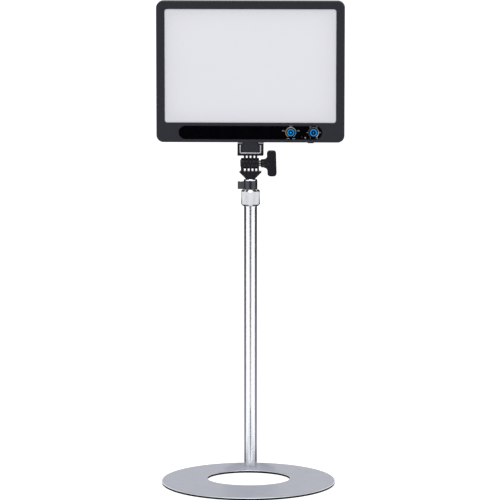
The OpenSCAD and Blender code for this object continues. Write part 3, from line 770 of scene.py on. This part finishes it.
def front_bezel():
    """The front shell: a thin face round the window, with a pocket for the strip and holes for the dials."""
    steps = round_over(FRONT, 1.3 * MM, 1) + [(SPLIT - SEAM, 0), (SPLIT, SEAM)]
    shell = to_object("front_bezel_piece", block(steps, PANEL_W, PANEL_H, PANEL_R, PANEL_MID))
    face_t = 2.2 * MM
    hollow = block([(FRONT + face_t, 0), (SPLIT + OVER, 0)], PANEL_W - 2 * WALL, PANEL_H - 2 * WALL,
                   PANEL_R - WALL, PANEL_MID)
    lead, flare, past_face = 0.45 * MM, 1.45 * MM, 3 * MM
    window = block([(FRONT - OVER, -flare), (FRONT + lead, 0), (FRONT + past_face, 0)], WINDOW_W, WINDOW_H,
                   WINDOW_R, WINDOW_MID)
    room, recess_r = 5.2 * MM, 1 * MM
    recess = block([(DIFFUSER_LOW.y, 0), (SPLIT, 0)], WINDOW_W + room, WINDOW_H + room, recess_r, WINDOW_MID)
    strip_w, strip_h = STRIP_HIGH.x - STRIP_LOW.x, STRIP_HIGH.z - STRIP_LOW.z
    lead, flare, depth, room = 0.3 * MM, 1.3 * MM, 1.6 * MM, 0.2 * MM
    pocket = block([(FRONT - OVER, -flare), (FRONT + lead, 0), (FRONT + depth, 0)], strip_w + room,
                   strip_h + room, strip_h / 2, STRIP_MID, 16)
    cutters = [hollow, window, recess, pocket]
    for node in DIALS:
        cutters.append(drum(DIAL_HOLE_R, FRONT + 1 * MM, SPLIT, middle(node)))
    cutters.append(drum(1.1 * MM, FRONT + 1 * MM, SPLIT, middle("status_lamp"), steps=24))
    low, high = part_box("power_button")
    slot = bmesh.new()
    gap = 0.3 * MM
    half = 4.8 * MM + gap
    mid = (low.x + high.x) / 2
    outline = [(mid - half, low.y - gap), (mid + half, low.y - gap), (mid + half, high.y + gap),
               (mid - half, high.y + gap)]
    prism(slot, outline, PANEL_LOW.z - OVER, PANEL_LOW.z + 3 * MM, "Z")
    cutters.append(slot)
    cut(shell, cutters)
    dress(shell, "front_bezel")


def rear_cover():
    """The rear shell, with two rows of vents, the power inlet's mouth and six screw recesses."""
    edge = 2.6 * MM
    steps = [(SPLIT, SEAM), (SPLIT + SEAM, 0)] + round_over(BACK, edge, -1)[::-1]
    shell = to_object("rear_cover_piece", block(steps, PANEL_W, PANEL_H, PANEL_R, PANEL_MID))
    cutters = [block([(SPLIT - OVER, 0), (BACK - WALL, 0)], PANEL_W - 2 * WALL, PANEL_H - 2 * WALL,
                     PANEL_R - WALL, PANEL_MID)]
    mouth = [(BACK - 2 * WALL, 0), (BACK - 0.4 * MM, 0), (BACK + OVER, -1.4 * MM)]
    vent_count, vent_pitch, vent_x, vent_z = 13, 6, 70, 160
    vent_w, vent_h, vent_r = 2.2 * MM, 46 * MM, 1.09 * MM
    vents = bmesh.new()
    for side in (-1, 1):
        for i in range(vent_count):
            x = side * vent_x * MM + (i - vent_count // 2) * vent_pitch * MM
            centre = Vector((x, 0, PANEL_LOW.z + vent_z * MM))
            join_rings(vents, panel_rings(mouth, vent_w, vent_h, vent_r, centre, 6))
    cutters.append(vents)
    port_w, port_h, port_r = 9.5 * MM, 3.8 * MM, 1.89 * MM
    cutters.append(block(mouth, port_w, port_h, port_r, middle("power_port"), 8))
    for x, z in screw_places():
        cutters.append(drum(2.5 * MM, BACK - 2 * MM, BACK + OVER, Vector((x, 0, z)), steps=40))
    cut(shell, cutters)
    dress(shell, "rear_cover")


def screw_places():
    """Where the six cover screws sit, read from the corners of their node's box."""
    low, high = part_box("rear_screws")
    head = 2.3 * MM
    xs = (low.x + head, high.x - head)
    zs = (low.z + head, (low.z + high.z) / 2, high.z - head)
    return [(x, z) for x in xs for z in zs]


def diffuser():
    """The opal sheet, with a faint moulded frame just inside the window."""
    border, step = 4.6 * MM, 0.18 * MM
    y = DIFFUSER_LOW.y
    width, height = DIFFUSER_HIGH.x - DIFFUSER_LOW.x, DIFFUSER_HIGH.z - DIFFUSER_LOW.z
    inset = border + 2.5 * MM
    run = [(DIFFUSER_HIGH.y, 0), (y, 0), (y, inset), (y + step, inset + 0.35 * MM)]
    rings = panel_rings(run, width, height, WINDOW_R, WINDOW_MID)
    bm = bmesh.new()
    join_rings(bm, rings)
    dress(to_object("diffuser_piece", bm, sharp=20), "diffuser")


def control_fascia():
    """The gloss strip with its round ends, open round the dials and the lamp."""
    width, height = STRIP_HIGH.x - STRIP_LOW.x, STRIP_HIGH.z - STRIP_LOW.z
    steps = round_over(STRIP_LOW.y, 0.5 * MM, 1, 4) + [(STRIP_HIGH.y, 0)]
    strip = to_object("control_fascia_piece", block(steps, width, height, height / 2, STRIP_MID, 20))
    start, end = STRIP_LOW.y - OVER, STRIP_HIGH.y + OVER
    cutters = [drum(DIAL_HOLE_R, start, end, middle(node), steps=72) for node in DIALS]
    cutters.append(drum(1.12 * MM, start, end, middle("status_lamp"), steps=24))
    cut(strip, cutters)
    dress(strip, "control_fascia")


def turned_ring(name, inner, outer, low_y, high_y, centre, edge=0.1, steps=96):
    """A flat ring about the Y axis with softened edges, from low_y (the side that shows) back to high_y."""
    lip = edge * MM
    bm = bmesh.new()
    profile = [(inner, high_y), (inner, low_y + lip), (inner + lip, low_y), (outer - lip, low_y),
               (outer, low_y + lip), (outer, high_y)]
    rings = []
    for r, y in profile:
        rings.append([Vector((centre.x + r * math.cos(a), y, centre.z + r * math.sin(a)))
                      for a in turn_angles(steps)])
    join_rings(bm, rings, closed=True)
    return to_object(name, bm)


def dial(node, ring_node, ink, pip_light, labels, label_start, label_step, label_reach):
    """One dial: its fluted cap, lit ring and dot, and the scale printed round it."""
    low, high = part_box(node)
    centre = middle(ring_node)
    radius = (high.x - low.x) / 2
    face = low.y
    flutes, steps, flute_depth = 40, 240, 0.12 * MM
    bm = bmesh.new()
    rings = []
    lip = 0.45 * MM
    run = [(radius - 0.3 * MM, FRONT + 2.1 * MM), (radius, FRONT + 0.2 * MM)]
    run += [(radius - lip + lip * math.cos(t), face + lip - lip * math.sin(t))
            for t in [math.pi / 2 * i / 4 for i in range(5)]]
    run += [(radius - 0.62 * MM, face + 0.02 * MM)]
    for index, (r, y) in enumerate(run):
        groove = flute_depth if index in (1, 2) else 0
        ring = []
        for a in turn_angles(steps):
            rim = r - groove * (0.5 + 0.5 * math.cos(flutes * a))
            ring.append(Vector((centre.x + rim * math.cos(a), y, centre.z + rim * math.sin(a))))
        rings.append(ring)
    join_rings(bm, rings)
    dress(to_object(node + "_piece", bm), node)
    ring_low, ring_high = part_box(ring_node)
    glow_in, glow_out = 3.55 * MM, (ring_high.x - ring_low.x) / 2 - 0.15 * MM
    glow = turned_ring(ring_node + "_piece", glow_in, glow_out, face, ring_high.y, centre)
    dress(glow, ring_node)
    pip_r, inlay_back = 1.35 * MM, face + 0.6 * MM
    pip = to_object(node + "_pip", drum(pip_r, face - 0.02 * MM, inlay_back, centre, steps=40))
    dress(pip, ring_node, pip_light, stands_for=False)
    core = turned_ring(node + "_core", pip_r, glow_in, face - 0.01 * MM, inlay_back, centre, 0.05)
    dress(core, node, stands_for=False)
    scale_arc(node + "_scale", centre, ink)
    for index, label in enumerate(labels):
        angle = math.radians(label_start - index * label_step)
        reach = label_reach(angle)
        spot = Vector((centre.x + reach * math.cos(angle), STRIP_LOW.y, centre.z + reach * math.sin(angle)))
        numeral(f"{node}_mark_{index}", label, spot)


def scale_arc(name, centre, ink):
    """The printed band round a dial, 300 degrees long, open at the bottom."""
    inner, outer = 7.2 * MM, 8.3 * MM
    steps, bm = 90, bmesh.new()
    front, back = -0.03 * MM, 0.02 * MM
    rings = []
    for i in range(steps + 1):
        a = math.radians(-SCALE_HALF + 2 * SCALE_HALF * i / steps)
        ring = []
        for r, y in ((inner, back), (inner, front), (outer, front), (outer, back)):
            ring.append(Vector((r * math.sin(a), y, r * math.cos(a))))
        rings.append(ring)
    join_rings(bm, rings)
    band = to_object(name, bm)
    band.location = (centre.x, STRIP_LOW.y, centre.z)
    dress(band, "control_fascia", ink, stands_for=False)


def numeral(name, text, spot, height=1.5):
    """A printed number on the gloss strip; height is that of its digits in mm."""
    curve = bpy.data.curves.new(name, "FONT")
    curve.body = text
    digit_share = 0.7
    curve.size = height * MM / digit_share
    curve.extrude = 0.02 * MM
    curve.align_x = "CENTER"
    curve.align_y = "CENTER"
    curve.resolution_u = 3
    words = bpy.data.objects.new(name + "_text", curve)
    bpy.context.scene.collection.objects.link(words)
    graph = bpy.context.evaluated_depsgraph_get()
    mesh = bpy.data.meshes.new_from_object(words.evaluated_get(graph))
    bpy.data.objects.remove(words)
    mesh.transform(Matrix.Translation(spot) @ Matrix.Rotation(math.pi / 2, 4, "X"))
    mark = bpy.data.objects.new(name, mesh)
    bpy.context.scene.collection.objects.link(mark)
    dress(mark, "control_fascia", WHITE_INK, stands_for=False)


def sensor_dot():
    """The faint dot printed left of the status lamp."""
    lamp = middle("status_lamp")
    spot = Vector((lamp.x - 5.4 * MM, 0, lamp.z + 1.1 * MM))
    disc = drum(0.6 * MM, STRIP_LOW.y - 0.03 * MM, STRIP_LOW.y + 0.02 * MM, spot, steps=24)
    dot = to_object("sensor_dot", disc)
    dress(dot, "control_fascia", GREY_INK, stands_for=False)


base_plate()
sensor_dot()
softened("base_pad", 0.2, 2)
for pipe in ("mast_outer_tube", "mast_inner_tube"):
    tube(pipe)
lock_collar()
softened("spigot_cap", 0.12, 2)
cable_clip()
tilt_base()
softened("tilt_nut", 0.25, 2)
softened("tilt_bolt", 0.3, 2)
softened("knob_ferrule", 0.25, 2)
tilt_knob()
softened("shoe_channel", 0.35, 3)
shoe_liner()
shoe_foot()
front_bezel()
rear_cover()
diffuser()
control_fascia()
softened("rear_screws", 0.12, 2)
softened("power_port", 0.12, 2)
softened("power_button", 0.4, 3)
softened("mast_screw", 0.2, 2)
dial("cct_dial", "cct_dial_ring", WARM_TO_COOL, BRIGHT_PIP, ["2700", "3500", "4500", "5500", "6500"],
     label_start=245, label_step=77.5, label_reach=lambda a: (9.7 + 2.0 * abs(math.cos(a))) * MM)
dial("brightness_dial", "brightness_dial_ring", DIM_TO_BRIGHT, SOFT_PIP, ["0", "20", "40", "60", "80", "100"],
     label_start=240, label_step=60, label_reach=lambda a: 10.0 * MM)

# CAD nodes that no piece replaces show their own mesh
for node, part in frame["nodes"].items():
    if not part.hide_render:
        part.data.materials.clear()
        part.data.materials.append(FINISH[SLOT_OF[node]])

# ---------------------------------------------------------------- studio

scene = bpy.context.scene
scene.view_settings.view_transform = "Standard"


def flat_card(name, corners, colour=(0, 0, 0), emission=None, strength=1.0):
    """A stage rectangle: a plain diffuse sheet, or a glowing one."""
    bm = bmesh.new()
    bm.faces.new([bm.verts.new(p) for p in corners])
    mesh = bpy.data.meshes.new(name)
    bm.to_mesh(mesh)
    bm.free()
    card = bpy.data.objects.new(name, mesh)
    scene.collection.objects.link(card)
    made, _, _, shader = principled(name)
    shader.inputs["Base Color"].default_value = (*colour, 1)
    shader.inputs["Roughness"].default_value = 0.9
    shader.inputs["Specular IOR Level"].default_value = 0.0
    if emission is not None:
        shader.inputs["Emission Color"].default_value = (*emission, 1)
        shader.inputs["Emission Strength"].default_value = strength
    mesh.materials.append(made)
    return card


def gloss_only(card):
    """Seen in polished surfaces only: it lights nothing and the camera doesn't see it."""
    card.visible_camera = False
    card.visible_diffuse = False
    card.visible_shadow = False
    card.visible_transmission = False


def upright_card(name, azimuth_low, azimuth_high, distance, z_low, z_high, grey_low, grey_high):
    """A card standing round the mast between two azimuths (0 is the camera's side), fading with height."""
    corners = ((azimuth_low, z_low), (azimuth_high, z_low), (azimuth_high, z_high), (azimuth_low, z_high))
    points = []
    for azimuth, z in corners:
        a = math.radians(azimuth)
        points.append((MAST.x + distance * math.sin(a), MAST.y - distance * math.cos(a), z))
    card = flat_card(name, points)
    tree = card.data.materials[0].node_tree
    shader = tree.nodes["Principled BSDF"]
    place = tree.nodes.new("ShaderNodeTexCoord")
    split = tree.nodes.new("ShaderNodeSeparateXYZ")
    fade = tree.nodes.new("ShaderNodeMapRange")
    fade.inputs["From Min"].default_value = z_low
    fade.inputs["From Max"].default_value = z_high
    fade.inputs["To Min"].default_value = grey_low
    fade.inputs["To Max"].default_value = grey_high
    tree.links.new(place.outputs["Object"], split.inputs["Vector"])
    tree.links.new(split.outputs["Z"], fade.inputs["Value"])
    tree.links.new(fade.outputs["Result"], shader.inputs["Emission Strength"])
    shader.inputs["Emission Color"].default_value = (0.87, 0.9, 1.06, 1)
    gloss_only(card)


# Half of the floor's width, in metres
reach = 40
flat_card("studio_floor", [(-reach, -reach, 0), (reach, -reach, 0), (reach, reach, 0), (-reach, reach, 0)],
          (0.9, 0.9, 0.9), (1, 1, 1), 0.3)
# Dark bands for the polished mast and the gloss strip to mirror
for side, sign in (("left", -1), ("right", 1)):
    upright_card("side_card_top_" + side, sign * 88, sign * 170, 0.4, 0.33, 0.7, 0.02, 0.02)
    upright_card("foot_card_" + side, sign * 76, sign * 160, 0.04, 0.005, 0.03, 0.13, 0.32)
    upright_card("mast_card_" + side, sign * 76, sign * 160, 0.04, 0.03, 0.412, 0.32, 0.01)
upright_card("foot_card_front", -8, 8, 0.06, 0.005, 0.085, 0.25, 0.25)
upright_card("camera_card", -10, 10, 0.6, 0.001, 0.3, 0.12, 0.06)
upright_card("front_card", -14, 14, 1.5, 0.0, 1.3, 0.06, 0.06)
upright_card("strip_card", -24, 24, 1.45, 0.25, 0.62, 0.0, 0.0)

world = bpy.data.worlds.new("studio")
world.use_nodes = True
world.node_tree.nodes["Background"].inputs["Color"].default_value = (1, 1, 1, 1)
world.node_tree.nodes["Background"].inputs["Strength"].default_value = 0.92
scene.world = world


def soft_light(name, place, target, size, power):
    data = bpy.data.lights.new(name, "AREA")
    data.shape = "DISK"
    data.size = size
    data.energy = power
    lamp = bpy.data.objects.new(name, data)
    scene.collection.objects.link(lamp)
    lamp.location = place
    lamp.rotation_mode = "QUATERNION"
    lamp.rotation_quaternion = (Vector(target) - Vector(place)).to_track_quat("-Z", "Y")


soft_light("overhead_light", (0, -0.9, 3.0), (0, 0.1, 0.3), 2.2, 30)

camera_data = bpy.data.cameras.new("camera")
camera = bpy.data.objects.new("camera", camera_data)
scene.collection.objects.link(camera)
scene.camera = camera
azimuth, pitch, distance = math.radians(1.775), math.radians(7.933), 5.1
camera_height, side_shift = 1.0557, -0.00086
camera.location = (distance * math.sin(azimuth) + side_shift, MAST.y - distance * math.cos(azimuth),
                   camera_height)
forward = Vector((-math.sin(azimuth) * math.cos(pitch), math.cos(azimuth) * math.cos(pitch),
                  -math.sin(pitch)))
camera.rotation_mode = "QUATERNION"
camera.rotation_quaternion = forward.to_track_quat("-Z", "Y")
camera_data.sensor_width = 36
camera_data.lens = 238.6
camera_data.clip_end = 200
